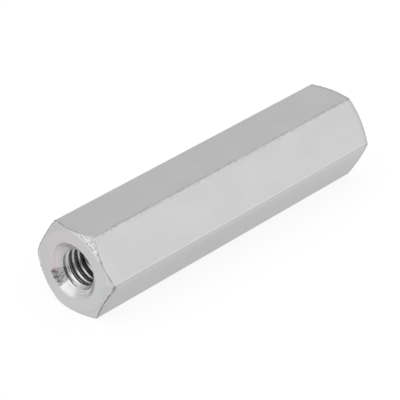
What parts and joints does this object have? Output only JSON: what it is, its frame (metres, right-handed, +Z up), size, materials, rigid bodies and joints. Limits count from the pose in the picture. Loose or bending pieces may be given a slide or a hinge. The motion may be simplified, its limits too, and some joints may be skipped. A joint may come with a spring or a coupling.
{
  "type": "hex standoff",
  "caption": "Hexagonal metal spacer, chamfered at both ends, with a countersunk tapped hole in each end face.",
  "frame": {"origin": "centre of the footprint of the bar as it lies on one of its flats, on the surface that it lies on", "axes": "+X along the bar towards the right-hand end, +Z up, square to the flat that it lies on"},
  "size_m": [0.035, 0.0092, 0.008],
  "materials": {
    "plated_steel": "bright zinc plate over drawn steel, satin, with fine marks from drawing and turning"
  },
  "bodies": {
    "root": {"standoff": "plated_steel"}
  },
  "joints": []
}
